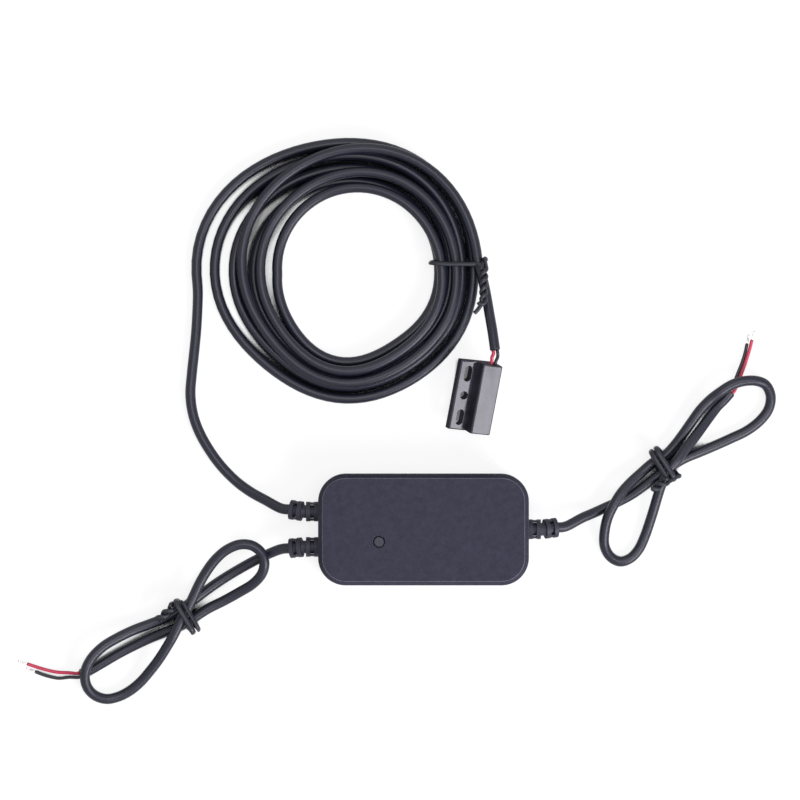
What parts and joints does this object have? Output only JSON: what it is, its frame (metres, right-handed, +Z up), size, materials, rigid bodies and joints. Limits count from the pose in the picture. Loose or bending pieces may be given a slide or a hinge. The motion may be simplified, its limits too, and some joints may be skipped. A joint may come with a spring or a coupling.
{
  "type": "garage door controller",
  "caption": "In-line relay box with a small push button, a coiled cable to a flanged contact sensor, and tied short cables with bare leads for the door trigger and power.",
  "frame": {"origin": "middle of the box's bottom face, on the surface that it lies on", "axes": "+X along the box towards the power cable, +Y away from the viewer across the box, +Z up through the button"},
  "size_m": [0.2878, 0.2149, 0.0201],
  "materials": {
    "shell": "fine spark-eroded satin black",
    "button": "satin black",
    "plunger": "matte",
    "switch_body": "matte",
    "board": "solder mask",
    "module_board": "dark solder mask",
    "shield": "tinned sheet",
    "relay": "satin",
    "ferrite": "sintered ferrite",
    "capacitor": "drawn can",
    "chip": "moulded",
    "led": "clear moulding",
    "relief": "soft moulded",
    "jacket": "satin jacket",
    "tie": "coated wire",
    "red_insulation": "smooth",
    "black_insulation": "smooth",
    "tinned": "tinned copper",
    "sensor": "polished black",
    "reed_glass": "clear green glass"
  },
  "bodies": {
    "controller": {"bottom_shell": "shell", "top_cover": "shell", "tact_switch": "switch_body", "circuit_board": "board", "radio_module": "module_board", "radio_shield": "shield", "relay": "relay", "inductor": "ferrite", "capacitors": "capacitor", "chips": "chip", "status_led": "led", "sensor_strain_relief": "relief", "trigger_strain_relief": "relief", "power_strain_relief": "relief", "sensor_inner_leads": "red_insulation", "trigger_inner_leads": "red_insulation", "power_inner_leads": "red_insulation", "sensor_lead": "jacket", "sensor_coil": "jacket", "sensor_tail": "jacket", "coil_tie": "tie", "sensor_red_wire": "red_insulation", "sensor_black_wire": "black_insulation", "sensor_case": "sensor", "sensor_back_plate": "sensor", "reed_switch": "reed_glass", "reed_leads": "tinned", "trigger_cable": "jacket", "trigger_tie": "tie", "trigger_red_wire": "red_insulation", "trigger_black_wire": "black_insulation", "trigger_wire_tips": "tinned", "power_cable": "jacket", "power_tie": "tie", "power_red_wire": "red_insulation", "power_black_wire": "black_insulation", "power_wire_tips": "tinned"},
    "button": {"button_cap": "button", "switch_plunger": "plunger"}
  },
  "joints": [
    {"name": "button_press", "type": "slide", "parent": "controller", "child": "button", "axis": [0, 0, -1], "range_m": [0, 0.0003], "stiffness_N_per_m": 1000, "springref_m": -0.001}
  ]
}
